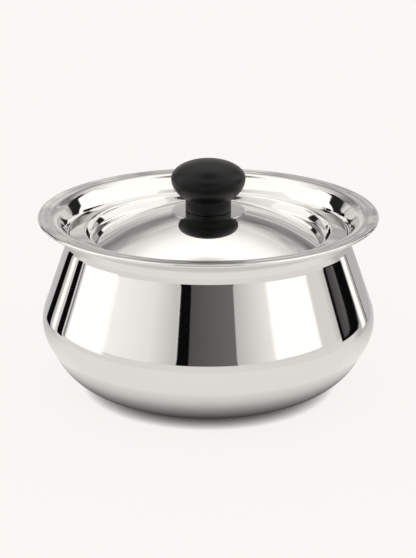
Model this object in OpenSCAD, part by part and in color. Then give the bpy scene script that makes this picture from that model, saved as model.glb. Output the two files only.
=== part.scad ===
// Spun steel cooking pot with a narrow neck, a wide flange, an inset lid and a moulded knob.
// Millimetres, +Z up. The origin is the middle of the flat base, on the axis of the pot.

/* [Pot shell] */
// Diameter over the flange
flange_d = 220; // [200:1:240]
// Height of the flange's top at its outer edge
pot_h = 117; // [113:1:122]
// Thickness of the spun sheet
sheet_t = 2.2; // [1.2:0.1:2.6]
// Diameter over the belly, at its widest
belly_d = 217.8; // [200:0.2:236]
// Height of the belly's widest line
belly_z = 46.4; // [43:0.2:49]
// Radius of the belly's turn
belly_round = 26.4; // [20:0.2:32]
// Lean of the bowl's side below the belly, from upright
bowl_lean = 27.8; // [24:0.2:31]
// Height at which the bowl's side turns under
knee_z = 12.3; // [10:0.1:15]
// Radius of that turn
knee_round = 40; // [28:1:44]
// Slope of the bottom outside the flat base
bottom_slope = 22.4; // [18:0.2:26]
// Radius between the flat base and the bottom
base_round = 16; // [8:1:24]

/* [Neck and flange] */
// Width of the flange outside the neck's bend
flange_w = 10.8; // [9:0.1:13]
// Depth of the neck's corner below the flange
neck_depth = 13.65; // [12.5:0.05:15]
// Outside radius of the neck's waist
waist_round = 12; // [8:0.5:13]
// Lean of the neck above the waist, outwards from upright
flare_lean = 40; // [36:0.5:43]
// Radius of the bend from the neck into the flange, on top
bend_round = 7.5; // [4:0.1:8]
// Slope of the flange, rising outwards
flange_slope = 3; // [0:0.5:6]
// Rounding of the flange's edge
edge_round = 0.7; // [0.2:0.1:1]

/* [Lid] */
// Thickness of the lid's sheet
lid_t = 0.9; // [0.6:0.1:1.2]
// How far the lid's edge reaches past the waist
lid_overlap = 0.5; // [0.3:0.1:1]
// Gap left between the lid's edge and its seat
seat_gap = 0.05; // [0.02:0.01:0.1]
// Width of the flat rim outside the raised ring
rim_w = 10.4; // [8:0.2:13]
// Slope of that rim, rising inwards
rim_slope = 6; // [2:0.5:9]
// Radius over the top of the raised ring
ring_round = 1.3; // [0.8:0.1:2]
// Depth of the channel inside the raised ring
channel_depth = 8.1; // [6:0.1:10]
// Run of the channel's steep outer wall
channel_run = 3.6; // [3:0.1:5]
// Radius at the bottom of the channel
channel_round = 3; // [2:0.1:3.6]
// Radius of curvature of the dome
crown_round = 145; // [130:1:180]
// Diameter of the flat seat under the knob
seat_d = 47.2; // [40:0.2:56]
// Height of that seat above the dome
seat_step = 0.45; // [0.3:0.05:0.7]

/* [Knob] */
// Height of the knob
knob_h = 33.2; // [31:0.2:36]
// Diameter of the cap
cap_d = 48; // [44:0.5:52]
// Height of the cap's widest line
cap_z = 21.2; // [19:0.2:23]
// Depth of the cap's underside below that line, taken to the axis
cap_under = 16.8; // [14:0.2:18]
// Diameter of the stem
stem_d = 29.6; // [26:0.2:32]
// Rounding of the stem's foot
foot_round = 0.6; // [0.3:0.1:1]

/* [Fixing] */
// Outside diameter of the brass insert
insert_d = 9; // [8:0.2:11]
// Length of the brass insert
insert_l = 12; // [10:0.5:15]
// Depth of the locking groove round the insert
groove_depth = 0.7; // [0.4:0.1:1]
// Diameter of the screw's shank
screw_d = 4.9; // [3.9:0.1:5.4]
// Gap between the shank and the insert's bore
thread_gap = 0.05; // [0.03:0.01:0.1]
// How far the screw goes into the insert
screw_grip = 9; // [6:0.5:9.5]
// Diameter of the screw's head
head_d = 9.6; // [8.6:0.1:10.6]
// Height of the screw's head
head_h = 3.6; // [2.8:0.1:4]
// Diameter of the washer
washer_d = 15; // [12:0.5:18]
// Thickness of the washer
washer_t = 1.2; // [0.8:0.1:1.6]
// Gap round the shank in the lid's hole and in the washer
hole_gap = 0.3; // [0.2:0.05:0.5]

/* [Hidden] */
// Facets of a full turn, and the largest step along a rounding
$fn = 144;
arc_step = 4.5;

steel = [0.80, 0.81, 0.82];
lid_steel = [0.86, 0.86, 0.87];
black = [0.06, 0.06, 0.065];
brass = [0.78, 0.62, 0.30];
zinc = [0.66, 0.68, 0.70];

// An outline is a list of corners [x, z, radius]
function at(corner) = [corner.x, corner.y];
function unit(v) = v / norm(v);
function left_of(v) = [-v.y, v.x];
function wrapped(a) = a > 180 ? a - 360 : a < -180 ? a + 360 : a;
function upside_down(list) = [for (i = [len(list) - 1 : -1 : 0]) list[i]];

// Half the angle between the two sides that meet at corner b
function half_angle(a, b, c) = acos(unit(at(a) - at(b)) * unit(at(c) - at(b))) / 2;
// Radius at corner b, no larger than half of its shorter side can take
function fitted(a, b, c) =
    min(b.z, tan(half_angle(a, b, c)) * min(norm(at(a) - at(b)), norm(at(c) - at(b))) / 2);
// Centre of the rounding at corner b
function centre_of(a, b, c) =
    at(b) + unit(unit(at(a) - at(b)) + unit(at(c) - at(b)))
            * fitted(a, b, c) / sin(half_angle(a, b, c));
// Points of the rounding at corner b
function rounding(a, b, c) =
    b.z <= 0 ? [at(b)] :
    let (r = fitted(a, b, c),
         reach = r / tan(half_angle(a, b, c)),
         middle = centre_of(a, b, c),
         from = at(b) + unit(at(a) - at(b)) * reach - middle,
         to = at(b) + unit(at(c) - at(b)) * reach - middle,
         start = atan2(from.y, from.x),
         sweep = wrapped(atan2(to.y, to.x) - start),
         steps = max(2, ceil(abs(sweep) / arc_step)))
    [for (i = [0 : steps]) middle + r * [cos(start + sweep * i / steps),
                                         sin(start + sweep * i / steps)]];
// All points of a closed outline
function rounded(corners) =
    let (n = len(corners))
    [for (i = [0 : n - 1])
        each rounding(corners[(i + n - 1) % n], corners[i], corners[(i + 1) % n])];
// The inner corners of an open outline, moved t to its left, with roundings that keep one centre
function parallel(corners, t) =
    [for (i = [1 : len(corners) - 2])
        let (before = unit(at(corners[i]) - at(corners[i - 1])),
             after = unit(at(corners[i + 1]) - at(corners[i])),
             turn = before.x * after.y - before.y * after.x,
             moved = at(corners[i])
                     + t * (left_of(before) + left_of(after)) / (1 + before * after))
        [moved.x, moved.y, corners[i].z > 0 ? max(0, corners[i].z - t * sign(turn)) : 0]];

// Outside of the flange and the neck, worked inwards from the flange's edge
flange_r = flange_d / 2;
under_flange_z = pot_h - sheet_t / cos(flange_slope);
bend_x = flange_r - flange_w;
bend_z = under_flange_z - flange_w * tan(flange_slope);
waist_z = pot_h - neck_depth;
waist_x = bend_x - (bend_z - waist_z) * tan(flare_lean);

// The straight wall runs from the waist's corner to the belly's turn, which it touches
belly_middle = [belly_d / 2 - belly_round, belly_z];
waist_from_belly = [waist_x, waist_z] - belly_middle;
wall_lean = asin(belly_round / norm(waist_from_belly)) - atan2(waist_from_belly.x, waist_from_belly.y);
belly_corner =
    let (spread = belly_round / cos((wall_lean + bowl_lean) / 2), tilt = (wall_lean - bowl_lean) / 2)
    belly_middle + spread * [cos(tilt), sin(tilt)];

// Outside of the whole pot, from the base to the flange
knee_x = belly_corner.x - (belly_corner.y - knee_z) * tan(bowl_lean);
base_x = knee_x - knee_z / tan(bottom_slope);
pot_outside = [
    [0, 0, 0],
    [base_x, 0, base_round],
    [knee_x, knee_z, knee_round],
    [belly_corner.x, belly_corner.y, belly_round],
    [waist_x, waist_z, waist_round],
    [bend_x, bend_z, bend_round - sheet_t],
    [flange_r, under_flange_z, edge_round]];
pot_inside = parallel(pot_outside, sheet_t);

// The waist inside the neck, on which the lid's edge rests
waist_index = 3;
waist_arc_r = fitted(pot_inside[waist_index - 1], pot_inside[waist_index], pot_inside[waist_index + 1]);
waist_arc = centre_of(pot_inside[waist_index - 1], pot_inside[waist_index],
                      pot_inside[waist_index + 1]);
lid_r = waist_arc.x - waist_arc_r + lid_overlap;
lid_z = waist_arc.y + sqrt(pow(waist_arc_r, 2) - pow(waist_arc.x - lid_r, 2)) + seat_gap;

// Top of the lid, from the seat under the knob to the edge
crown_blend = 5;
crown_step = 3;
seat_wall = 1;
seat_round = 1;
ring_x = lid_r - rim_w;
rim_edge_z = lid_z + lid_t / cos(rim_slope);
ring_z = rim_edge_z + rim_w * tan(rim_slope);
channel_x = ring_x - channel_run;
channel_z = ring_z - channel_depth;
crown_x = channel_x - crown_blend;
crown_z = channel_z + crown_blend * tan(asin(crown_x / crown_round))
          - sqrt(pow(crown_round, 2) - pow(crown_x, 2));
function crown_at(x) = crown_z + sqrt(pow(crown_round, 2) - pow(x, 2));
seat_x = seat_d / 2 + seat_wall;
seat_z = crown_at(seat_x) + seat_step;
crown_steps = ceil((crown_x - seat_x) / crown_step);
screw_hole_r = screw_d / 2 + hole_gap;
lid_top = concat(
    [[screw_hole_r, seat_z, 0], [seat_d / 2, seat_z, seat_round], [seat_x, crown_at(seat_x), seat_round]],
    [for (i = [1 : crown_steps])
        let (x = seat_x + (crown_x - seat_x) * i / crown_steps) [x, crown_at(x), 0]],
    [[channel_x, channel_z, channel_round], [ring_x, ring_z, ring_round],
     [lid_r, rim_edge_z, lid_t / 3]]);

// Outside of the knob, measured from its foot: the cap's two halves are quarters of ellipses
cap_step = 6;
stem_blend = 1;
cap_r = cap_d / 2;
stem_r = stem_d / 2;
function cap_at(angle, height) = [cap_r * cos(angle), cap_z + height * sin(angle), 0];
under_from = -acos(stem_r / cap_r);
under_steps = ceil(-under_from / cap_step);
stem_h = cap_at(under_from, cap_under).y;
knob_outside = concat(
    [[0, 0, 0], [stem_r, 0, foot_round], [stem_r, stem_h, stem_blend]],
    [for (i = [1 : under_steps]) cap_at(under_from * (1 - i / under_steps), cap_under)],
    [for (angle = [cap_step : cap_step : 90]) cap_at(angle, knob_h - cap_z)]);

// The insert's outline, which is also the hollow in the knob
insert_r = insert_d / 2;
insert_bore_r = screw_d / 2 + thread_gap;
insert_side = [
    [insert_r, 0], [insert_r, insert_l / 3], [insert_r - groove_depth, insert_l / 3 + groove_depth],
    [insert_r - groove_depth, insert_l * 2 / 3 - groove_depth], [insert_r, insert_l * 2 / 3],
    [insert_r, insert_l]];

// The screw, measured from the underside of the lid
head_round = 1.6;
tip_chamfer = 0.6;
slot_w = 1.2;
slot_l = 5.2;
slot_depth = 1.8;
under_lid_z = seat_z - lid_t;
screw_l = washer_t + lid_t + screw_grip;

// One-piece spun shell: flat base, bowl, belly, straight wall, neck and flange
module pot_shell() {
    color(steel) rotate_extrude()
        polygon(rounded(concat(pot_outside, [[flange_r, pot_h, edge_round]],
                               upside_down(pot_inside), [[0, sheet_t, 0]])));
}

// One-piece pressed lid: rim, raised ring, channel, dome and knob seat, with the screw's hole
module lid_plate() {
    color(lid_steel) rotate_extrude()
        polygon(rounded(concat(lid_top, [[lid_r, lid_z, lid_t / 3]],
                               upside_down(parallel(lid_top, -lid_t)),
                               [[screw_hole_r, under_lid_z, 0]])));
}

// Moulded mushroom knob, with the hollow that holds the insert
module lid_knob() {
    color(black) translate([0, 0, seat_z]) rotate_extrude() difference() {
        polygon(rounded(knob_outside));
        polygon(concat([[0, 0]], insert_side, [[0, insert_l]]));
    }
}

// Threaded brass insert, with a groove that locks it in the moulding
module knob_insert() {
    color(brass) translate([0, 0, seat_z]) rotate_extrude()
        polygon(concat([[insert_bore_r, 0]], insert_side, [[insert_bore_r, insert_l]]));
}

// Pan-head screw with a cross recess, driven from inside the lid
module knob_screw() {
    color(zinc) translate([0, 0, under_lid_z - washer_t]) difference() {
        rotate_extrude() polygon(rounded([
            [0, -head_h, 0], [head_d / 2, -head_h, head_round], [head_d / 2, 0, 0],
            [screw_d / 2, 0, 0], [screw_d / 2, screw_l - tip_chamfer, 0],
            [screw_d / 2 - tip_chamfer, screw_l, 0], [0, screw_l, 0]]));
        for (turn = [0, 90])
            rotate([0, 0, turn])
                translate([-slot_l / 2, -slot_w / 2, -head_h - slot_depth])
                    cube([slot_l, slot_w, 2 * slot_depth]);
    }
}

// Flat washer between the screw's head and the lid
module screw_washer() {
    color(zinc) translate([0, 0, under_lid_z - washer_t]) difference() {
        cylinder(d = washer_d, h = washer_t);
        translate([0, 0, -washer_t]) cylinder(r = screw_hole_r, h = 3 * washer_t);
    }
}

pot_shell();
lid_plate();
lid_knob();
knob_insert();
knob_screw();
screw_washer();
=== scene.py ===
# %% [markdown]
# # A polished steel pot with an inset lid
#
# The object is a handi: a round-bellied cooking pot spun from one sheet of stainless steel. Its neck
# is narrow, its flange is wide, and a pressed lid sits inside the neck. The lid carries a moulded
# black knob, held from below by a screw, a washer and a brass insert.
#
# The construction comes in as a fixed frame, so this script only decides how each piece looks. It
# starts by loading that frame and noting how much room it takes.

# %% Load the frame
import math

import bmesh
import bpy
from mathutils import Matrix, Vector


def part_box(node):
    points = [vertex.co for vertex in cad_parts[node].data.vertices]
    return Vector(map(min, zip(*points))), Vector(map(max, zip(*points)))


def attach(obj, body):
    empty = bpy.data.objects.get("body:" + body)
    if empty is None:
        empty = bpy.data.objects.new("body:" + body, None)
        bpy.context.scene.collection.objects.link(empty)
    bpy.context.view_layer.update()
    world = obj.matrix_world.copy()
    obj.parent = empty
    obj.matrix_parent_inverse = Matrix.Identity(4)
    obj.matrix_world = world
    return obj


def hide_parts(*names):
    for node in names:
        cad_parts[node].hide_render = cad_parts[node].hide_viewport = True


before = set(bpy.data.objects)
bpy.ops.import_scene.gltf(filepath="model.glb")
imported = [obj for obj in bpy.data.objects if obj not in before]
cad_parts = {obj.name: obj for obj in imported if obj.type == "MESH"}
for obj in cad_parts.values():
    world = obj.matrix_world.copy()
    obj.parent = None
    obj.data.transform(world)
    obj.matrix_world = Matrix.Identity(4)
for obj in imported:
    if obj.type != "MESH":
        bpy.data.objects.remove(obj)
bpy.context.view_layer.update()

# %% [markdown]
# ## The camera
#
# The pot is seen from a little above, from about a metre away, with a long lens, so its circles
# become calm ellipses. The picture is taller than it is wide, so the lens is worked out from the
# picture's height: a focal length in pixels, times the sensor, over that height.

# %% Camera
MM = 0.001
PICTURE_HEIGHT_PX = 558
FOCAL_LENGTH_PX = 1680.5
SENSOR_MM = 36.0
CAMERA_PLACE = (-0.2 * MM, -1044 * MM, 426.2 * MM)
CAMERA_PITCH_DEG = 18.79

camera_data = bpy.data.cameras.new("camera")
camera_data.sensor_width = SENSOR_MM
camera_data.lens = FOCAL_LENGTH_PX * SENSOR_MM / PICTURE_HEIGHT_PX
camera = bpy.data.objects.new("camera", camera_data)
camera.location = CAMERA_PLACE
camera.rotation_euler = (math.radians(90 - CAMERA_PITCH_DEG), 0, 0)
bpy.context.scene.collection.objects.link(camera)
bpy.context.scene.camera = camera
print("lens in mm:", round(camera_data.lens, 2))

# %% [markdown]
# ## Building node trees by hand
#
# Materials, the studio and the shapes are all made of nodes. One short helper adds a node, sets its
# properties and fills its inputs. An input takes either a plain value or another node's output, and
# in the second case the helper draws the link. The other helpers, for arithmetic, for cloudy noise
# and for a new node group, keep the trees below short.

# %% A helper that adds a node
def add(tree, kind, inputs=None, **settings):
    node = tree.nodes.new(kind)
    for name, value in settings.items():
        setattr(node, name, value)
    for key, value in (inputs or {}).items():
        if isinstance(value, bpy.types.NodeSocket):
            tree.links.new(value, node.inputs[key])
        else:
            node.inputs[key].default_value = value
    return node


def maths(tree, operation, *values):
    return add(tree, "ShaderNodeMath", dict(enumerate(values)), operation=operation).outputs[0]


def noise_at(tree, where, scale, detail):
    return add(tree, "ShaderNodeTexNoise", {
        "Vector": where, "Scale": scale, "Detail": detail}).outputs[0]


NUMBER = "NodeSocketFloat"


def new_group(name, kind, inputs, outputs):
    """A node group whose sockets are given as {name: (socket type, default)} and {name: type}."""
    group = bpy.data.node_groups.new(name, kind)
    for label, (socket_type, default) in inputs.items():
        socket = group.interface.new_socket(label, in_out="INPUT", socket_type=socket_type)
        if default is not None:
            socket.default_value = default
    for label, socket_type in outputs.items():
        group.interface.new_socket(label, in_out="OUTPUT", socket_type=socket_type)
    return group, group.nodes.new("NodeGroupInput").outputs, group.nodes.new("NodeGroupOutput")


# %% [markdown]
# ## The studio
#
# Polished steel has almost no colour of its own: it shows the room. So the room is the first
# material to design. Here the room is painted in the world's nodes, in three ways at once.
#
# - The camera sees a plain pale backdrop.
# - Matt surfaces get plain white light of strength 1, so that they render as they are written.
# - Mirror-like surfaces see a slightly warm room with white softboxes, grey panels and narrow black
#   strips, which draw the dark edges that make steel read as steel.
#
# That room has two layers. Under all lies a brightness for each height above the horizon: a light
# table, two thin dark lines, a dark belt, a bright band of lamps and a dark ceiling. Soft streaks
# make its middle heights uneven. Over it lie the cards.
#
# A card is a patch of the room: a span of azimuth, a span of height above the horizon, and a
# brightness that may change from its left edge to its right. Its left and right edges have a
# softness each. Azimuth 0 is the camera's side and +90 is the right. Cards are laid over each other
# in the order of the list.

# %% Colours of the backdrop, the plain light and the mirrored room, and the table's brightness
BACKDROP = (0.965, 0.93, 0.905, 1.0)
PLAIN_LIGHT = (1.0, 1.0, 1.0, 1.0)
ROOM_TINT = (1.0, 0.972, 0.942)
TABLE = 0.90

# %% The room behind the cards: height in degrees, brightness
ROOM = [(-1.0, TABLE), (6.0, 0.84), (11.5, 0.80), (12.6, 0.90), (13.6, 0.52), (15.2, 0.88),
        (16.6, 0.70), (18.0, 0.62), (19.3, 0.42), (20.6, 0.80), (21.6, 0.36), (25.0, 0.22),
        (30.0, 0.36), (36.0, 0.75), (44.0, 0.95), (50.0, 1.20), (58.0, 1.40),
        (67.0, 1.40), (74.0, 0.30), (90.0, 0.22)]
ZENITH_DEG = 90.0
RAMP_FULL = 1.5

# %% Its streaks: the heights in degrees where they fade in and out, their strength and their shape
STREAKS_FROM = (8.0, 13.0)
STREAKS_UP_TO = (32.0, 46.0)
STREAKS = 1.7
STREAK_STRETCH = (4.0, 4.0, 12.0)
STREAK_DETAIL = 3.0

# %% The cards: edges in degrees, softness of the left and right edge, brightness left and right
CARDS = [
    # name, left, right, low, high, soft left, soft right, brightness left, brightness right
    ("left far table", -182, -125, -60, 4, 1.0, 10.0, 0.55, 0.66),
    ("right far table", 118, 182, -60, 4, 10.0, 1.0, 0.60, 0.50),
    ("left bounce, far", -80, -40, 3, 38, 1.0, 1.0, 1.22, 1.00),
    ("left bounce, near", -41, -21.3, 4, 38, 1.0, 0.6, 1.00, 0.66),
    ("bright edge", -22.6, -21.3, 4, 38, 0.5, 0.5, 0.74, 0.74),
    ("near black strip", -21.3, -12.5, 4, 38, 0.6, 0.6, 0.004, 0.004),
    ("near panel", -13.2, 19.4, 4, 38, 0.8, 0.6, 0.10, 0.183),
    ("right bounce", 19.4, 50, 5, 38, 0.6, 1.0, 0.63, 1.14),
    ("right panel", 78, 95, 3, 12, 1.0, 1.0, 0.87, 0.87),
    ("right panel's edge", 94.5, 100.7, 3, 12, 1.0, 0.6, 0.87, 0.66),
    ("right softbox", 46, 81.8, 6, 38, 4.0, 3.0, 1.42, 1.42),
    ("left softbox", -110.3, -74.5, -4, 38, 2.0, 5.0, 1.42, 1.42),
    ("left shadow line", -114.3, -112.2, -5, 12, 1.2, 1.2, 0.28, 0.28),
    ("left black strip", -122.9, -115.8, -8, 12, 0.8, 0.8, 0.004, 0.004),
    ("left white strip", -131.5, -126.3, -9, 12, 1.6, 1.6, 1.35, 1.35),
    ("far left black strip", -146.2, -135.6, -13, 12, 1.2, 1.0, 0.004, 0.004),
    ("right black strips", 100.7, 126.4, -3, 12, 0.6, 1.6, 0.004, 0.004),
    ("right dark panel", 103.8, 113.6, 1, 12, 1.4, 1.2, 0.07, 0.14),
    ("right white strip", 127.6, 133.6, -8, 12, 2.2, 2.0, 1.35, 1.35),
    ("right thin line", 136.8, 138.6, -9, 12, 0.8, 0.8, 0.15, 0.15),
    ("front top softbox", -112, 112, 38, 66, 1.0, 1.0, 1.38, 1.38),
    ("left back softbox", -126, -100, 12, 42, 1.5, 1.0, 1.42, 1.42),
    ("left back black", -140, -126.5, 7, 36, 3.0, 1.5, 0.02, 0.02),
    ("right back softbox", 80, 133, 12, 42, 1.0, 1.5, 1.42, 1.42),
    ("right back black", 133.5, 146, 7, 36, 1.5, 3.0, 0.02, 0.02),
]
LOW_AND_HIGH_SOFTNESS = 1.0

# %% A helper each for a smooth step and for mixing two colours
def between(tree, value, start, end):
    return add(tree, "ShaderNodeMapRange", {"Value": value, "From Min": start, "From Max": end},
               interpolation_type="SMOOTHSTEP").outputs["Result"]


def mixed(tree, share, first, second):
    return add(tree, "ShaderNodeMix", {0: share, 6: first, 7: second},
               data_type="RGBA").outputs[2]


# %% One card, as a node group that lays itself over what is under it
def studio_card():
    tree, given, result = new_group(
        "Studio card", "ShaderNodeTree",
        {"Under": (NUMBER, 0.0), "Azimuth": (NUMBER, 0.0), "Height": (NUMBER, 0.0),
         "Left": (NUMBER, -10.0), "Right": (NUMBER, 10.0), "Low": (NUMBER, -90.0),
         "High": (NUMBER, 90.0), "Soft left": (NUMBER, 1.0), "Soft right": (NUMBER, 1.0),
         "Brightness left": (NUMBER, 1.0), "Brightness right": (NUMBER, 1.0)},
        {"Brightness": NUMBER})
    share = 1.0
    for value, edge, sign, softness in (("Azimuth", "Left", 1.0, given["Soft left"]),
                                        ("Azimuth", "Right", -1.0, given["Soft right"]),
                                        ("Height", "Low", 1.0, LOW_AND_HIGH_SOFTNESS),
                                        ("Height", "High", -1.0, LOW_AND_HIGH_SOFTNESS)):
        past = maths(tree, "MULTIPLY", maths(tree, "SUBTRACT", given[value], given[edge]), sign)
        half = maths(tree, "MULTIPLY", softness, 0.5)
        start = maths(tree, "MULTIPLY", half, -1.0)
        share = maths(tree, "MULTIPLY", share, between(tree, past, start, half))
    own = add(tree, "ShaderNodeMapRange", {
        "Value": given["Azimuth"], "From Min": given["Left"], "From Max": given["Right"],
        "To Min": given["Brightness left"], "To Max": given["Brightness right"]}).outputs["Result"]
    laid = add(tree, "ShaderNodeMix", {0: share, 2: given["Under"], 3: own}).outputs[0]
    tree.links.new(laid, result.inputs["Brightness"])
    return tree


# %% World: the azimuth and height that each ray looks along
world = bpy.data.worlds.new("studio")
world.use_nodes = True
bpy.context.scene.world = world
sky = world.node_tree
sky.nodes.clear()

direction = add(sky, "ShaderNodeSeparateXYZ", {
    0: add(sky, "ShaderNodeTexCoord").outputs["Generated"]}).outputs
turned = maths(sky, "ARCTAN2", direction[0], maths(sky, "MULTIPLY", direction[1], -1.0))
azimuth = maths(sky, "DEGREES", turned)
height = maths(sky, "DEGREES", maths(sky, "ARCSINE", direction[2]))

# %% The room's brightness by height, from a ramp whose white stands for the brightness RAMP_FULL
share_up = maths(sky, "DIVIDE", maths(sky, "ADD", height, ZENITH_DEG), 2 * ZENITH_DEG)
room = add(sky, "ShaderNodeValToRGB", {0: share_up})
stops = room.color_ramp.elements
for i, (degrees, level) in enumerate(ROOM):
    position = (degrees + ZENITH_DEG) / (2 * ZENITH_DEG)
    stop = stops[i] if i < 2 else stops.new(position)
    stop.position = position
    stop.color = (level / RAMP_FULL,) * 3 + (1.0,)

# %% Streaks, which make it uneven
stretched = add(sky, "ShaderNodeVectorMath", {
    0: add(sky, "ShaderNodeTexCoord").outputs["Generated"], 1: STREAK_STRETCH},
    operation="MULTIPLY").outputs[0]
streaks = noise_at(sky, stretched, scale=1.0, detail=STREAK_DETAIL)
streaked = maths(sky, "SUBTRACT", between(sky, height, *STREAKS_FROM),
                 between(sky, height, *STREAKS_UP_TO))
uneven = maths(sky, "MULTIPLY_ADD", maths(sky, "SUBTRACT", streaks, 0.5),
               maths(sky, "MULTIPLY", streaked, STREAKS), 1.0)
brightness = maths(sky, "MULTIPLY", maths(sky, "MULTIPLY", room.outputs[0], RAMP_FULL), uneven)

# %% Lay the cards over the room
card_group = studio_card()
for name, *edges_and_brightness in CARDS:
    card = add(sky, "ShaderNodeGroup", node_tree=card_group, label=name)
    for socket, value in zip(card.inputs, (brightness, azimuth, height, *edges_and_brightness)):
        if isinstance(value, bpy.types.NodeSocket):
            sky.links.new(value, socket)
        else:
            socket.default_value = value
    brightness = card.outputs[0]
print("cards in the studio:", len(CARDS))

# %% What mirrors, matt surfaces and the camera see
tinted = add(sky, "ShaderNodeCombineColor", {
    i: maths(sky, "MULTIPLY", brightness, channel)
    for i, channel in enumerate(ROOM_TINT)}).outputs[0]
rays = add(sky, "ShaderNodeLightPath").outputs
light = mixed(sky, rays["Is Glossy Ray"], PLAIN_LIGHT, tinted)
light = mixed(sky, rays["Is Camera Ray"], light, BACKDROP)
add(sky, "ShaderNodeOutputWorld", {
    "Surface": add(sky, "ShaderNodeBackground", {"Color": light}).outputs[0]})

# %% [markdown]
# ## The floor
#
# The floor is a wide pale sheet under the pot. It shines in the backdrop's own colour, so that far
# from the pot its edge can't be seen, and a painted contact shadow darkens its glow where the pot
# covers it closely. A small share of it is real matt cloth, which adds the wider, fainter shade of
# the belly. Seen from below it is clear, so that the base shows.
#
# The steel mirrors a somewhat different floor. There the painted contact shadow reaches further and
# has a darker core, painted shade makes the side behind the pot dimmer, and the floor ends as a
# round table, so that the studio's cards show beyond its edge.

# %% Sizes of the floor, the reach of its painted contact shadow, and how dark it is
FLOOR_HALF = 20.0
TABLE_R = 300 * MM
TABLE_FADE = 30 * MM
CONTACT = 7.5 * MM
MIRRORED_CONTACT = 24 * MM
CORE = 1.5
SHADED_SHARE = 0.09
FAR_SIDE = (-30 * MM, 120 * MM)
FAR_SIDE_DIMMED = 0.32
COVER_SAMPLES = 16

# %% The sheet
floor_mesh = bpy.data.meshes.new("floor")
floor_mesh.from_pydata([(-FLOOR_HALF, -FLOOR_HALF, 0), (FLOOR_HALF, -FLOOR_HALF, 0),
                        (FLOOR_HALF, FLOOR_HALF, 0), (-FLOOR_HALF, FLOOR_HALF, 0)],
                       [], [(0, 1, 2, 3)])
floor = bpy.data.objects.new("floor", floor_mesh)
bpy.context.scene.collection.objects.link(floor)

# %% Its paint: how strongly it shines, with a painted contact shadow and painted shade behind the pot
floor_paint = bpy.data.materials.new("floor_paint")
floor_paint.use_nodes = True
paint = floor_paint.node_tree
paint.nodes.clear()
mirrored_ray = add(paint, "ShaderNodeLightPath").outputs["Is Glossy Ray"]
reach = maths(paint, "MULTIPLY_ADD", mirrored_ray, MIRRORED_CONTACT - CONTACT, CONTACT)
open_share = add(paint, "ShaderNodeAmbientOcclusion", {"Distance": reach},
                 samples=COVER_SAMPLES).outputs["AO"]
power = maths(paint, "MULTIPLY_ADD", mirrored_ray, CORE - 1.0, 1.0)
spot = add(paint, "ShaderNodeTexCoord").outputs["Object"]
behind = between(paint, add(paint, "ShaderNodeSeparateXYZ", {0: spot}).outputs[1], *FAR_SIDE)
painted_far_shade = maths(paint, "MULTIPLY", maths(paint, "MULTIPLY", behind, mirrored_ray), FAR_SIDE_DIMMED)
# The glow's strength is painted shade: a contact shadow from the cover, and a dimmer side behind the
# pot for mirrors.
painted_shadow_strength = maths(paint, "MULTIPLY", maths(paint, "POWER", open_share, power),
                 maths(paint, "SUBTRACT", 1.0, painted_far_shade))

# %% The shining sheet with its painted shadow, its share of cloth, and where it is clear
# The sheet glows in the backdrop's colour, with the contact shadow painted into that glow.
painted_shadow_glow = add(paint, "ShaderNodeEmission", {"Color": BACKDROP, "Strength": painted_shadow_strength}).outputs[0]
matt = add(paint, "ShaderNodeBsdfDiffuse", {"Color": BACKDROP}).outputs[0]
cloth = add(paint, "ShaderNodeMixShader", {0: SHADED_SHARE, 1: painted_shadow_glow, 2: matt}).outputs[0]
clear = add(paint, "ShaderNodeBsdfTransparent").outputs[0]
from_middle = add(paint, "ShaderNodeVectorMath", {0: spot}, operation="LENGTH").outputs["Value"]
beyond = between(paint, from_middle, TABLE_R - TABLE_FADE, TABLE_R + TABLE_FADE)
mirrored = maths(paint, "MULTIPLY", mirrored_ray, beyond)
from_below = add(paint, "ShaderNodeNewGeometry").outputs["Backfacing"]
see_through = maths(paint, "MAXIMUM", from_below, mirrored)
either = add(paint, "ShaderNodeMixShader", {0: see_through, 1: cloth, 2: clear})
add(paint, "ShaderNodeOutputMaterial", {"Surface": either.outputs[0]})
floor_mesh.materials.append(floor_paint)

# %% [markdown]
# ## Outlines with rounded corners
#
# Every large piece here was spun or turned, so one outline beside the axis says all about its shape.
# A toolmaker draws such an outline as a few corners, each with a radius. The next helpers do the
# same: a corner is (distance from the axis, height, radius), and the outline between the corners
# is made of true arcs and of straights cut into short steps, which keeps reflections smooth.

# %% Rounded outlines
ARC_STEP_DEG = 3.0
LINE_STEP = 3.0 * MM
SMALLEST_STEP = 1e-6


def place(corner):
    return Vector(corner[:2])


def half_angle(before, here, after):
    back = (place(before) - place(here)).normalized()
    onward = (place(after) - place(here)).normalized()
    return math.acos(max(-1.0, min(1.0, back.dot(onward)))) / 2


def fitted_radius(before, here, after):
    """The corner's radius, no larger than half of its shorter side can take."""
    shorter = min((place(before) - place(here)).length, (place(after) - place(here)).length)
    return min(here[2], math.tan(half_angle(before, here, after)) * shorter / 2)


def arc_centre(before, here, after):
    back = (place(before) - place(here)).normalized()
    onward = (place(after) - place(here)).normalized()
    reach = fitted_radius(before, here, after) / math.sin(half_angle(before, here, after))
    return place(here) + (back + onward).normalized() * reach


def corner_points(before, here, after):
    if here[2] <= 0:
        return [place(here)]
    radius = fitted_radius(before, here, after)
    reach = radius / math.tan(half_angle(before, here, after))
    centre = arc_centre(before, here, after)
    start = place(here) + (place(before) - place(here)).normalized() * reach - centre
    end = place(here) + (place(after) - place(here)).normalized() * reach - centre
    first = math.atan2(start.y, start.x)
    sweep = math.remainder(math.atan2(end.y, end.x) - first, 2 * math.pi)
    steps = max(3, math.ceil(abs(math.degrees(sweep)) / ARC_STEP_DEG))
    angles = [first + sweep * i / steps for i in range(steps + 1)]
    return [centre + radius * Vector((math.cos(a), math.sin(a))) for a in angles]


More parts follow.
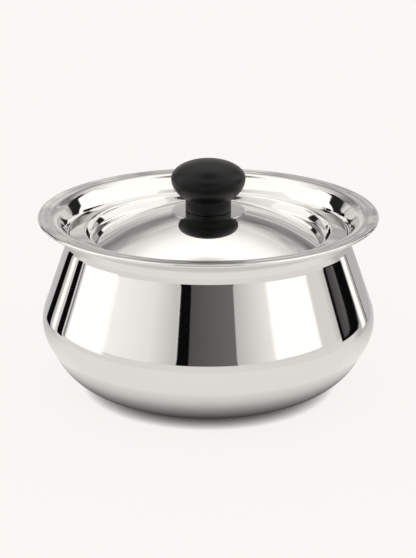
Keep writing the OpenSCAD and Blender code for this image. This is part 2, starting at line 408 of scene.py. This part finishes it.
def outline(corners, line_step=LINE_STEP):
    """The points of a closed outline, ready to be turned about the axis."""
    count = len(corners)
    points = []
    for i in range(count):
        points += corner_points(corners[i - 1], corners[i], corners[(i + 1) % count])
    fine = []
    for here, after in zip(points, points[1:] + points[:1]):
        gap = (after - here).length
        steps = max(1, math.ceil(gap / line_step)) if gap > SMALLEST_STEP else 0
        fine += [here.lerp(after, i / steps) for i in range(steps)]
    return fine


def parallel(corners, distance):
    """The inner corners of an open outline, moved to its left, with arcs that keep one centre."""
    moved = []
    for before, here, after in zip(corners, corners[1:], corners[2:]):
        a = (place(here) - place(before)).normalized()
        b = (place(after) - place(here)).normalized()
        turn = math.copysign(1.0, a.x * b.y - a.y * b.x)
        shift = Vector((-a.y - b.y, a.x + b.x)) * distance / (1 + a.dot(b))
        radius = max(0.0, here[2] - distance * turn) if here[2] > 0 else 0.0
        moved.append((here[0] + shift.x, here[1] + shift.y, radius))
    return moved


# %% [markdown]
# ## Spinning an outline with Geometry Nodes
#
# A spinning lathe turns a flat outline into a round shell, and so does this tree. It makes a grid
# with one column for each step round the axis and one row for each point of the outline, looks up
# that point, and turns it by the column's angle. Merging by distance closes the seam and the pole.
# The number of steps and the finish are inputs, so one tree serves every round piece.

# %% The spinning tree
def spinning_tree():
    tree, given, result = new_group(
        "Spin an outline", "GeometryNodeTree",
        {"Outline": ("NodeSocketGeometry", None), "Steps round": ("NodeSocketInt", 180),
         "Finish": ("NodeSocketMaterial", None)},
        {"Piece": "NodeSocketGeometry"})
    rows = add(tree, "GeometryNodeAttributeDomainSize", {0: given["Outline"]}).outputs["Point Count"]
    columns = maths(tree, "ADD", given["Steps round"], 1)
    grid = add(tree, "GeometryNodeMeshGrid", {"Vertices X": columns, "Vertices Y": rows})
    index = add(tree, "GeometryNodeInputIndex").outputs[0]
    point = add(tree, "GeometryNodeSampleIndex", {
        "Geometry": given["Outline"],
        "Value": add(tree, "GeometryNodeInputPosition").outputs[0],
        "Index": maths(tree, "MODULO", index, rows)}, data_type="FLOAT_VECTOR").outputs["Value"]
    column = maths(tree, "FLOOR", maths(tree, "DIVIDE", index, rows))
    angle = maths(tree, "DIVIDE", maths(tree, "MULTIPLY", column, 2 * math.pi), given["Steps round"])
    turned = add(tree, "ShaderNodeVectorRotate", {"Vector": point, "Angle": angle},
                 rotation_type="Z_AXIS").outputs[0]
    shell = add(tree, "GeometryNodeSetPosition", {"Geometry": grid.outputs["Mesh"],
                                                  "Position": turned}).outputs[0]
    closed = add(tree, "GeometryNodeMergeByDistance", {"Geometry": shell,
                                                       "Distance": SMALLEST_STEP}).outputs[0]
    smooth = add(tree, "GeometryNodeSetShadeSmooth", {"Geometry": closed}).outputs[0]
    real = add(tree, "GeometryNodeRealizeInstances", {"Geometry": smooth}).outputs[0]
    finish = add(tree, "GeometryNodeSetMaterial", {"Geometry": real, "Material": given["Finish"]})
    tree.links.new(finish.outputs[0], result.inputs["Piece"])
    return tree


spin_tree = spinning_tree()

# %% [markdown]
# A tree's result becomes a plain mesh before the piece is handed to the frame. Where an outline
# runs along the axis, merging leaves edges that carry no face, and they are deleted. Normals are
# recalculated after the doubles are merged, because a grid doesn't know which side is out, and
# edges that turn sharply are marked so that they stay crisp under smooth shading.

# %% From a tree to a finished piece
SHARP_EDGE_DEG = 35.0


def made_by(tree, name, source, values):
    """Runs a tree on a source mesh with its inputs set by name, and returns the plain piece."""
    carrier = bpy.data.objects.new(name + "_source", source)
    bpy.context.scene.collection.objects.link(carrier)
    modifier = carrier.modifiers.new(tree.name, "NODES")
    modifier.node_group = tree
    for socket in tree.interface.items_tree:
        if socket.in_out == "INPUT" and socket.name in values:
            modifier[socket.identifier] = values[socket.name]
    carrier.update_tag()
    depsgraph = bpy.context.evaluated_depsgraph_get()
    mesh = bpy.data.meshes.new_from_object(carrier.evaluated_get(depsgraph), depsgraph=depsgraph)
    bpy.data.objects.remove(carrier)
    mesh.name = name
    shell = bmesh.new()
    shell.from_mesh(mesh)
    loose = [edge for edge in shell.edges if not edge.link_faces]
    bmesh.ops.delete(shell, geom=loose, context="EDGES")
    bmesh.ops.recalc_face_normals(shell, faces=shell.faces)
    open_edges = sum(1 for edge in shell.edges if not edge.is_manifold)
    shell.to_mesh(mesh)
    shell.free()
    mesh.set_sharp_from_angle(angle=math.radians(SHARP_EDGE_DEG))
    piece = bpy.data.objects.new(name, mesh)
    bpy.context.scene.collection.objects.link(piece)
    print(f"{name}: {len(mesh.vertices)} points, {len(mesh.polygons)} faces, {open_edges} open edges")
    return piece


def spun(name, corners, finish, steps_round=240, line_step=LINE_STEP):
    points = outline(corners, line_step)
    source = bpy.data.meshes.new(name + "_outline")
    source.from_pydata([(p.x, 0, p.y) for p in points + points[:1]], [], [])
    return made_by(spin_tree, name, source, {"Steps round": steps_round, "Finish": finish})


def hand_over(piece, slot, *nodes):
    """Gives a finished piece to the frame in place of the nodes it shows."""
    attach(piece, "root")
    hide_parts(*nodes)


# %% [markdown]
# ## What polished steel shows up close
#
# Spun steel is never a perfect mirror. The spinning tool leaves rings too fine to see one by one,
# the polishing wheel leaves hair lines, and the sheet waves very slightly, which makes the edges of
# reflections wander. Both the pot and the lid have these marks, in different strengths, so each
# mark is a node group that puts out a height or a mask.
#
# Two narrow bands, the flange and the wall of the lid's channel, mirror at another tilt than their
# shape alone would give. A bump turns their reflections, while the shape stays: the flange mirrors
# as if it were nearly level, with faint ripples, and the channel's wall as a steeper wall would.

# %% A place on the piece, and its distance from the axis
def from_axis(tree):
    where = add(tree, "ShaderNodeSeparateXYZ", {
        0: add(tree, "ShaderNodeTexCoord").outputs["Object"]}).outputs
    out = maths(tree, "SQRT", maths(tree, "ADD", maths(tree, "MULTIPLY", where[0], where[0]),
                                    maths(tree, "MULTIPLY", where[1], where[1])))
    return where, out


# %% Rings left by spinning, at one distance and height all the way round
CLIMB_TO_DISTANCE = 1.618


def spinning_rings():
    tree, given, result = new_group(
        "Spinning rings", "ShaderNodeTree", {"Rings per metre": (NUMBER, 2500.0)},
        {"Height": NUMBER})
    where, out = from_axis(tree)
    along = maths(tree, "ADD", out, maths(tree, "MULTIPLY", where[2], CLIMB_TO_DISTANCE))
    noise = add(tree, "ShaderNodeTexNoise", {
        "W": maths(tree, "MULTIPLY", along, given["Rings per metre"]), "Scale": 1.0,
        "Detail": 3.0, "Roughness": 0.6}, noise_dimensions="1D")
    tree.links.new(noise.outputs[0], result.inputs["Height"])
    return tree


# %% Hair lines left by polishing, in three directions, each given by two turns in radians
HAIR_TURNS = [(0.3, 0.2), (1.4, 1.1), (2.5, 0.6)]
HAIR_TURN_Y_SHARE = 0.4
HAIR_THINNESS = 0.035
HAIR_FROM, HAIR_FULL = 0.66, 0.78


def hair_lines():
    tree, given, result = new_group(
        "Hair lines", "ShaderNodeTree", {"Lines per metre": (NUMBER, 900.0)}, {"Mask": NUMBER})
    where = add(tree, "ShaderNodeTexCoord").outputs["Object"]
    total = 0.0
    for turn_z, turn_x in HAIR_TURNS:
        turned = add(tree, "ShaderNodeMapping", {
            "Vector": where, "Rotation": (turn_x, HAIR_TURN_Y_SHARE * turn_z, turn_z),
            "Scale": (1.0, HAIR_THINNESS, HAIR_THINNESS)}).outputs[0]
        total = maths(tree, "MAXIMUM", total,
                      noise_at(tree, turned, scale=given["Lines per metre"], detail=1.0))
    mask = add(tree, "ShaderNodeMapRange", {
        "Value": total, "From Min": HAIR_FROM, "From Max": HAIR_FULL})
    tree.links.new(mask.outputs[0], result.inputs["Mask"])
    return tree


# %% The roller's rings on a band: a slope that drifts on the way round, and ripples on it
DRIFTS_ROUND = 2.6


def roller_rings():
    tree, given, result = new_group(
        "Roller rings", "ShaderNodeTree",
        {"From radius": (NUMBER, 0.1), "Width": (NUMBER, 0.01), "From height": (NUMBER, 0.0),
         "Slope": (NUMBER, 0.0), "Slope drift": (NUMBER, 0.02), "Ripple": (NUMBER, 0.003),
         "Ripple slope": (NUMBER, 0.02)},
        {"Height": NUMBER})
    where, out = from_axis(tree)
    past = maths(tree, "SUBTRACT", out, given["From radius"])
    across = maths(tree, "MAXIMUM", maths(tree, "MINIMUM", past, given["Width"]), 0.0)
    wave = maths(tree, "DIVIDE", given["Ripple"], 2 * math.pi)
    ripple = maths(tree, "MULTIPLY", maths(tree, "SINE", maths(tree, "DIVIDE", across, wave)), wave)
    round_about = add(tree, "ShaderNodeCombineXYZ", {
        0: maths(tree, "DIVIDE", where[0], out),
        1: maths(tree, "DIVIDE", where[1], out)}).outputs[0]
    drift = noise_at(tree, round_about, scale=DRIFTS_ROUND, detail=1.0)
    slope = maths(tree, "MULTIPLY_ADD", maths(tree, "SUBTRACT", drift, 0.5), given["Slope drift"],
                  given["Slope"])
    height = maths(tree, "ADD", maths(tree, "MULTIPLY", across, slope),
                   maths(tree, "MULTIPLY", ripple, given["Ripple slope"]))
    on_band = maths(tree, "GREATER_THAN", where[2], given["From height"])
    tree.links.new(maths(tree, "MULTIPLY", height, on_band), result.inputs["Height"])
    return tree


# %% The groups, and a helper that puts one into a finish
RINGS = spinning_rings()
HAIR_LINES = hair_lines()
ROLLER_RINGS = roller_rings()


def grouped(tree, group, **inputs):
    node = tree.nodes.new("ShaderNodeGroup")
    node.node_tree = group
    for name, value in inputs.items():
        node.inputs[name.replace("_", " ")].default_value = value
    return node.outputs[0]


# %% [markdown]
# ## The finishes
#
# Each finish is one Principled shader. What is the same all over is set on its own socket, and what
# changes over the surface comes in from the groups: a little roughness where a hair line crosses,
# a very low bump from the rings and from the waviness of the sheet, and a slope on one band.

# %% A new finish
def new_finish(name, **values):
    material = bpy.data.materials.new(name)
    material.use_nodes = True
    tree = material.node_tree
    shader = tree.nodes["Principled BSDF"]
    for socket, value in values.items():
        shader.inputs[socket.replace("_", " ")].default_value = value
    return material, tree, shader


def bumped(tree, height, distance, normal=None):
    inputs = {"Height": height, "Distance": distance, "Strength": 1.0}
    if normal is not None:
        inputs["Normal"] = normal
    return add(tree, "ShaderNodeBump", inputs).outputs[0]


# %% Polished steel
WAVES_PER_METRE = 22.0
CLOUDS_PER_METRE = 60.0
LINES_TO_CLOUDS = 2.0
DARKER = 0.94
DARKER_SHARE = 0.6


def steel(name, tint, roughness, roughness_marks, ring_depth, wave_depth, anisotropic=0.0,
          band=None):
    """Depths are in metres, and band holds the roller's settings where a band was rolled."""
    material, tree, shader = new_finish(name, Metallic=1.0, Anisotropic=anisotropic)
    where = add(tree, "ShaderNodeTexCoord").outputs["Object"]
    waves = noise_at(tree, where, scale=WAVES_PER_METRE, detail=1.0)
    cloud = noise_at(tree, where, scale=CLOUDS_PER_METRE, detail=3.0)
    rings = grouped(tree, RINGS, Rings_per_metre=2500.0)
    lines = grouped(tree, HAIR_LINES, Lines_per_metre=900.0)
    marks = maths(tree, "MULTIPLY_ADD", lines, LINES_TO_CLOUDS, cloud)
    tree.links.new(maths(tree, "MULTIPLY_ADD", marks, roughness_marks, roughness),
                   shader.inputs["Roughness"])
    darker = tuple(DARKER * channel for channel in tint)
    darkened = maths(tree, "MULTIPLY", cloud, DARKER_SHARE)
    tree.links.new(mixed(tree, darkened, (*tint, 1.0), (*darker, 1.0)), shader.inputs["Base Color"])
    normal = bumped(tree, waves, wave_depth)
    normal = bumped(tree, rings, ring_depth, normal)
    if band:
        normal = bumped(tree, grouped(tree, ROLLER_RINGS, **band), 1.0, normal)
    tree.links.new(normal, shader.inputs["Normal"])
    if anisotropic:
        along_rings = add(tree, "ShaderNodeTangent", direction_type="RADIAL", axis="Z")
        tree.links.new(along_rings.outputs[0], shader.inputs["Tangent"])
    return material


# %% Mirror-polished steel of the pot, with the band that levels the flange's reflections
POT_TINT = (0.765, 0.76, 0.75)
FLANGE_BAND = {"From_radius": 100.5 * MM, "Width": 8.6 * MM, "From_height": 113 * MM,
               "Slope": -math.tan(math.radians(2.7)), "Slope_drift": 0.20,
               "Ripple": 4.3 * MM, "Ripple_slope": math.tan(math.radians(1.8))}
pot_finish = steel("pot_polished_steel", POT_TINT, roughness=0.026, roughness_marks=0.01,
                   ring_depth=1.2e-6, wave_depth=2e-5, band=FLANGE_BAND)

# %% The lid's steel, with a faint grain in circles and the band on its channel's wall
LID_TINT = (0.80, 0.795, 0.785)
CHANNEL_BAND = {"From_radius": 76.0 * MM, "Width": 3.2 * MM, "From_height": 90 * MM,
                "Slope": 0.45, "Slope_drift": 0.0, "Ripple_slope": 0.0}
lid_finish = steel("lid_grained_steel", LID_TINT, roughness=0.04, roughness_marks=0.015,
                   ring_depth=2e-6, wave_depth=2e-5, anisotropic=0.2, band=CHANNEL_BAND)

# %% [markdown]
# ## The pot shell
#
# The pot is one sheet: a flat base, a bowl, a belly, a straight wall that leans in, a waist, and a
# flare that bends into the flange. The outline is worked inwards from the flange's edge, whose size
# comes from the frame, and the inside is the same outline moved by the sheet's thickness.

# %% Sizes of the pot shell
pot_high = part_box("pot_shell")[1]
flange_r = pot_high.x
pot_h = pot_high.z
sheet_t = 2.2 * MM
belly_r = 108.9 * MM
belly_z = 46.4 * MM
belly_round = 26.4 * MM
bowl_lean = math.radians(27.8)
knee_z = 12.3 * MM
knee_round = 40.0 * MM
bottom_slope = math.radians(22.4)
base_round = 16.0 * MM
flange_w = 10.8 * MM
neck_depth = 13.65 * MM
waist_round = 12.0 * MM
flare_lean = math.radians(40.0)
bend_round = 7.5 * MM
flange_slope = math.radians(3.0)
edge_round = 1.0 * MM

# %% The outside, from the flange inwards and down
under_flange_z = pot_h - sheet_t / math.cos(flange_slope)
bend_x = flange_r - flange_w
bend_z = under_flange_z - flange_w * math.tan(flange_slope)
waist_z = pot_h - neck_depth
waist_x = bend_x - (bend_z - waist_z) * math.tan(flare_lean)

belly_middle = Vector((belly_r - belly_round, belly_z))
from_belly = Vector((waist_x, waist_z)) - belly_middle
wall_lean = math.asin(belly_round / from_belly.length) - math.atan2(from_belly.x, from_belly.y)
spread = belly_round / math.cos((wall_lean + bowl_lean) / 2)
tilt = (wall_lean - bowl_lean) / 2
belly_corner = belly_middle + spread * Vector((math.cos(tilt), math.sin(tilt)))
knee_x = belly_corner.x - (belly_corner.y - knee_z) * math.tan(bowl_lean)
base_x = knee_x - knee_z / math.tan(bottom_slope)

pot_outside = [
    (0, 0, 0), (base_x, 0, base_round), (knee_x, knee_z, knee_round),
    (belly_corner.x, belly_corner.y, belly_round), (waist_x, waist_z, waist_round),
    (bend_x, bend_z, bend_round - sheet_t), (flange_r, under_flange_z, edge_round)]
pot_inside = parallel(pot_outside, sheet_t)
print("wall leans", round(math.degrees(wall_lean), 2), "degrees")

# %% Spin the pot shell
pot_corners = pot_outside + [(flange_r, pot_h, edge_round)] + pot_inside[::-1] + [(0, sheet_t, 0)]
hand_over(spun("pot_shell_spun", pot_corners, pot_finish), "pot_steel", "pot_shell")

# %% [markdown]
# ## The lid
#
# The lid is pressed from thinner sheet. From its edge inwards it has a rim that rises a little, a
# raised ring, a channel, a shallow dome, and a flat raised seat under the knob with a hole for the
# screw. Its edge rests on the waist inside the neck, so its place follows from the pot's arc there.

# %% Sizes of the lid
lid_t = 0.9 * MM
lid_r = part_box("lid_plate")[1].x
rim_w = 10.4 * MM
rim_slope = math.radians(6.0)
ring_round = 1.3 * MM
channel_depth = 8.1 * MM
channel_run = 3.6 * MM
channel_round = 3.0 * MM
crown_round = 145.0 * MM
crown_blend = 5.0 * MM
crown_step = 1.5 * MM
seat_r = 23.6 * MM
seat_step = 0.45 * MM
seat_wall = 1.0 * MM
seat_round = 1.0 * MM
seat_gap = 0.05 * MM
screw_hole_r = 2.75 * MM

# %% The top of the lid, from the seat to the edge
waist = pot_inside[2:5]
waist_arc = arc_centre(*waist)
waist_arc_r = fitted_radius(*waist)
lid_z = waist_arc.y + math.sqrt(waist_arc_r ** 2 - (waist_arc.x - lid_r) ** 2) + seat_gap
rim_edge_z = lid_z + lid_t / math.cos(rim_slope)
ring_x = lid_r - rim_w
ring_z = rim_edge_z + rim_w * math.tan(rim_slope)
channel_x = ring_x - channel_run
channel_z = ring_z - channel_depth
crown_x = channel_x - crown_blend
crown_z = (channel_z + crown_blend * math.tan(math.asin(crown_x / crown_round))
           - math.sqrt(crown_round ** 2 - crown_x ** 2))


def crown_at(x):
    return crown_z + math.sqrt(crown_round ** 2 - x ** 2)


seat_x = seat_r + seat_wall
seat_z = crown_at(seat_x) + seat_step
crown_steps = math.ceil((crown_x - seat_x) / crown_step)
crown_places = [seat_x + (crown_x - seat_x) * i / crown_steps for i in range(1, crown_steps + 1)]
lid_top = (
    [(screw_hole_r, seat_z, 0), (seat_r, seat_z, seat_round), (seat_x, crown_at(seat_x), seat_round)]
    + [(x, crown_at(x), 0) for x in crown_places]
    + [(channel_x, channel_z, channel_round), (ring_x, ring_z, ring_round),
       (lid_r, rim_edge_z, lid_t / 3)])

# %% Spin the lid
lid_corners = (lid_top + [(lid_r, lid_z, lid_t / 3)] + parallel(lid_top, -lid_t)[::-1]
               + [(screw_hole_r, seat_z - lid_t, 0)])
hand_over(spun("lid_plate_pressed", lid_corners, lid_finish), "lid_steel", "lid_plate")

# %% [markdown]
# ## The knob
#
# The knob is moulded from a black phenolic resin, which bears heat. It is satin: its skin is smooth
# but soft in its reflections, with a very fine mottle from the mould. The finish is a dark colour
# with a middling roughness that drifts a little, and a faint bump.

# %% Satin black resin
RESIN_BLACK = (0.0015, 0.0015, 0.0016, 1.0)
RESIN_PALER = (0.003, 0.003, 0.0032, 1.0)
RESIN_ROUGHNESS = 0.33
RESIN_ROUGHNESS_DRIFT = 0.08
MOTTLES_PER_METRE = 900.0
DRIFTS_PER_METRE = 45.0
MOTTLE_DEPTH = 1e-5

resin_finish, resin, resin_shader = new_finish("knob_satin_resin", IOR=1.45,
                                                Specular_IOR_Level=0.26)
where = add(resin, "ShaderNodeTexCoord").outputs["Object"]
mottle = noise_at(resin, where, scale=MOTTLES_PER_METRE, detail=2.0)
drift = noise_at(resin, where, scale=DRIFTS_PER_METRE, detail=2.0)
roughness = maths(resin, "MULTIPLY_ADD", drift, RESIN_ROUGHNESS_DRIFT, RESIN_ROUGHNESS)
resin.links.new(mixed(resin, drift, RESIN_BLACK, RESIN_PALER), resin_shader.inputs["Base Color"])
resin.links.new(roughness, resin_shader.inputs["Roughness"])
resin.links.new(bumped(resin, mottle, MOTTLE_DEPTH), resin_shader.inputs["Normal"])

# %% Sizes of the knob
knob_low, knob_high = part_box("lid_knob")
knob_foot = knob_low.z
knob_h = knob_high.z - knob_low.z
cap_r = knob_high.x
stem_r = 14.8 * MM
cap_z = 21.2 * MM
cap_under = 16.8 * MM
stem_blend = 1.0 * MM
foot_round = 0.6 * MM
CAP_STEP = math.radians(2.5)
insert_r = 4.5 * MM
insert_l = 12.0 * MM
groove_depth = 0.7 * MM

# %% The knob's outline: two quarters of ellipses on a straight stem
def cap_at(angle, height):
    return (cap_r * math.cos(angle), cap_z + height * math.sin(angle), 0)


under_from = -math.acos(stem_r / cap_r)
under_steps = math.ceil(-under_from / CAP_STEP)
over_steps = math.ceil(math.pi / 2 / CAP_STEP)
knob_side = [(stem_r, 0, foot_round), (*cap_at(under_from, cap_under)[:2], stem_blend)]
knob_side += [cap_at(under_from * (1 - i / under_steps), cap_under)
              for i in range(1, under_steps + 1)]
knob_side += [cap_at(math.pi / 2 * i / over_steps, knob_h - cap_z)
              for i in range(1, over_steps + 1)]

# %% The hollow for the insert
insert_side = [
    (insert_r, 0, 0), (insert_r, insert_l / 3, 0),
    (insert_r - groove_depth, insert_l / 3 + groove_depth, 0),
    (insert_r - groove_depth, insert_l * 2 / 3 - groove_depth, 0),
    (insert_r, insert_l * 2 / 3, 0), (insert_r, insert_l, 0)]
knob_corners = knob_side + [(0, insert_l, 0)] + insert_side[::-1]


def raised(corners, lift):
    return [(x, z + lift, radius) for x, z, radius in corners]


hand_over(spun("lid_knob_moulded", raised(knob_corners, knob_foot), resin_finish),
          "knob_black", "lid_knob")

# %% [markdown]
# ## Threads and knurls with Geometry Nodes
#
# The brass insert is knurled outside, so that it can't turn in the resin, and it is threaded inside
# for the screw. A thread and a knurl are the same thing: V-grooves that climb as they go round. One
# groove with a small pitch is a thread, and three dozen steep ones are a knurl. So one tree cuts
# both. It moves each point in or out by a triangle wave of its angle and height, where the point
# lies between two heights and between two distances from the axis.

# %% The groove-cutting tree
def groove_tree():
    tree, given, result = new_group(
        "Cut climbing grooves", "GeometryNodeTree",
        {"Plain piece": ("NodeSocketGeometry", None), "Starts": ("NodeSocketInt", 1),
         "Pitch": (NUMBER, 0.0008), "Depth": (NUMBER, 0.0004),
         "From height": (NUMBER, 0.0), "To height": (NUMBER, 1.0),
         "From radius": (NUMBER, 0.0), "To radius": (NUMBER, 1.0),
         "Finish": ("NodeSocketMaterial", None)},
        {"Piece": "NodeSocketGeometry"})
    spot = add(tree, "GeometryNodeInputPosition").outputs[0]
    parts = add(tree, "ShaderNodeSeparateXYZ", {0: spot}).outputs
    out = add(tree, "ShaderNodeCombineXYZ", {0: parts[0], 1: parts[1]}).outputs[0]
    radius = add(tree, "ShaderNodeVectorMath", {0: out}, operation="LENGTH").outputs["Value"]
    turns = maths(tree, "DIVIDE", maths(tree, "ARCTAN2", parts[1], parts[0]), 2 * math.pi)
    climb = maths(tree, "DIVIDE", parts[2], given["Pitch"])
    phase = maths(tree, "ADD", maths(tree, "MULTIPLY", turns, given["Starts"]), climb)
    wave = maths(tree, "PINGPONG", maths(tree, "MULTIPLY", phase, 2.0), 1.0)
    inside = 1.0
    for value, low_end, high_end in ((parts[2], "From height", "To height"),
                                     (radius, "From radius", "To radius")):
        above = maths(tree, "GREATER_THAN", value, given[low_end])
        below = maths(tree, "LESS_THAN", value, given[high_end])
        inside = maths(tree, "MULTIPLY", inside, maths(tree, "MULTIPLY", above, below))
    cut = maths(tree, "MULTIPLY", maths(tree, "MULTIPLY", wave, given["Depth"]), inside)
    inwards = add(tree, "ShaderNodeVectorMath", {
        0: add(tree, "ShaderNodeVectorMath", {0: out}, operation="NORMALIZE").outputs[0],
        "Scale": maths(tree, "MULTIPLY", cut, -1.0)}, operation="SCALE").outputs[0]
    moved = add(tree, "GeometryNodeSetPosition", {"Geometry": given["Plain piece"],
                                                  "Offset": inwards}).outputs[0]
    real = add(tree, "GeometryNodeRealizeInstances", {"Geometry": moved}).outputs[0]
    finish = add(tree, "GeometryNodeSetMaterial", {"Geometry": real, "Material": given["Finish"]})
    tree.links.new(finish.outputs[0], result.inputs["Piece"])
    return tree


cut_tree = groove_tree()


def grooved(piece, name, finish, **values):
    """Cuts grooves into a spun piece and returns the new piece in its place."""
    settings = {key.replace("_", " "): value for key, value in values.items()}
    source = piece.data
    bpy.data.objects.remove(piece)
    return made_by(cut_tree, name, source, {**settings, "Finish": finish})


# %% Brass and plated steel
TARNISH_PER_METRE = 250.0
DULLER = 0.8
ROUGHER = 0.15
TOOL_RING_DEPTH = 4e-6


def machined(name, tint, roughness):
    """Turned metal: rings from the cutting tool and a slightly uneven colour."""
    material, tree, shader = new_finish(name, Metallic=1.0)
    spot = add(tree, "ShaderNodeTexCoord").outputs["Object"]
    cloud = noise_at(tree, spot, scale=TARNISH_PER_METRE, detail=3.0)
    dull = tuple(DULLER * channel for channel in tint)
    tree.links.new(mixed(tree, cloud, (*tint, 1.0), (*dull, 1.0)), shader.inputs["Base Color"])
    tree.links.new(maths(tree, "MULTIPLY_ADD", cloud, ROUGHER, roughness), shader.inputs["Roughness"])
    rings = grouped(tree, RINGS, Rings_per_metre=9000.0)
    tree.links.new(bumped(tree, rings, TOOL_RING_DEPTH), shader.inputs["Normal"])
    return material


brass_finish = machined("insert_turned_brass", (0.72, 0.52, 0.22), roughness=0.22)
screw_finish = machined("screw_satin_steel", (0.60, 0.60, 0.59), roughness=0.25)

# %% [markdown]
# ## The insert, the washer and the screw
#
# These sit under the knob, out of sight until the lid is lifted. They are still made as real ones
# are. The insert is spun, knurled and threaded, the washer has broken edges, and the screw is spun,
# threaded and given a cross recess in its head.

# %% Insert
thread_pitch = 0.8 * MM
thread_depth = 0.4 * MM
bore_r = 2.5 * MM
KNURLS = 36
knurl_depth = 0.35 * MM
FINE_STEP = 0.1 * MM
end_margin = 0.5 * MM

insert_corners = [(bore_r, 0, 0)] + insert_side + [(bore_r, insert_l, 0)]
insert_low, insert_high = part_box("knob_insert")
plain_insert = spun("insert_plain", raised(insert_corners, insert_low.z), brass_finish,
                    steps_round=216, line_step=2 * FINE_STEP)
knurled = grooved(plain_insert, "insert_knurled", brass_finish, Starts=KNURLS, Pitch=1.0,
                  Depth=knurl_depth, From_height=insert_low.z + end_margin,
                  To_height=insert_high.z - end_margin, From_radius=insert_r - end_margin / 2)
knob_insert = grooved(knurled, "knob_insert_knurled", brass_finish, Pitch=-thread_pitch,
                      Depth=-thread_depth, From_height=insert_low.z + end_margin,
                      To_height=insert_high.z - end_margin, To_radius=bore_r + end_margin)
hand_over(knob_insert, "insert_brass", "knob_insert")

# %% Washer
washer_low, washer_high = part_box("screw_washer")
broken_edge = 0.15 * MM
washer_corners = [
    (screw_hole_r, washer_low.z, broken_edge), (washer_high.x, washer_low.z, broken_edge),
    (washer_high.x, washer_high.z, broken_edge), (screw_hole_r, washer_high.z, broken_edge)]
hand_over(spun("screw_washer_flat", washer_corners, screw_finish, steps_round=96),
          "screw_steel", "screw_washer")

# %% Screw, threaded where it grips the insert
screw_low, screw_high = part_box("knob_screw")
shank_r = 2.45 * MM
head_r = screw_high.x
head_h = 3.6 * MM
head_round = 1.6 * MM
head_edge_round = 0.2 * MM
tip_chamfer = 0.6 * MM
head_top = screw_low.z + head_h
screw_corners = [
    (0, screw_low.z, 0), (head_r, screw_low.z, head_round), (head_r, head_top, head_edge_round),
    (shank_r, head_top, 0), (shank_r, screw_high.z - tip_chamfer, 0),
    (shank_r - tip_chamfer, screw_high.z, 0), (0, screw_high.z, 0)]
plain_screw = spun("screw_plain", screw_corners, screw_finish, steps_round=72, line_step=FINE_STEP)
threaded = grooved(plain_screw, "screw_threaded", screw_finish, Pitch=-thread_pitch,
                   Depth=thread_depth, From_height=seat_z + end_margin,
                   To_height=screw_high.z - tip_chamfer / 2, From_radius=shank_r - tip_chamfer / 2,
                   To_radius=shank_r + tip_chamfer)

# %% The cross recess, cut by two tapered blades
slot_w = 1.2 * MM
slot_l = 5.2 * MM
slot_depth = 1.8 * MM
SLOT_TAPER = 0.45

cutter_mesh = bpy.data.meshes.new("recess")
blades = bmesh.new()
for turn in (0, math.pi / 2):
    blade = bmesh.ops.create_cube(blades, size=1.0)["verts"]
    for point in blade:
        deep = point.co.z > 0
        length = slot_l * (SLOT_TAPER if deep else 1.0)
        x, y = point.co.x * length, point.co.y * slot_w
        z = screw_low.z + (slot_depth if deep else -slot_depth)
        point.co = (x * math.cos(turn) - y * math.sin(turn),
                    x * math.sin(turn) + y * math.cos(turn), z)
bmesh.ops.recalc_face_normals(blades, faces=blades.faces)
blades.to_mesh(cutter_mesh)
blades.free()
cutter = bpy.data.objects.new("recess", cutter_mesh)
bpy.context.scene.collection.objects.link(cutter)

recess = threaded.modifiers.new("recess", "BOOLEAN")
recess.operation = "DIFFERENCE"
recess.solver = "EXACT"
recess.use_self = True
recess.object = cutter
depsgraph = bpy.context.evaluated_depsgraph_get()
screw_mesh = bpy.data.meshes.new_from_object(threaded.evaluated_get(depsgraph), depsgraph=depsgraph)
bpy.data.objects.remove(cutter)
bpy.data.objects.remove(threaded)
screw_mesh.set_sharp_from_angle(angle=math.radians(SHARP_EDGE_DEG))
knob_screw = bpy.data.objects.new("knob_screw_threaded", screw_mesh)
bpy.context.scene.collection.objects.link(knob_screw)
hand_over(knob_screw, "screw_steel", "knob_screw")
print("screw:", len(screw_mesh.polygons), "faces")

# %% [markdown]
# ## Plain colours in the picture
#
# The standard view transform shows a colour as it is written.

# %% Finish
bpy.context.scene.view_settings.view_transform = "Standard"
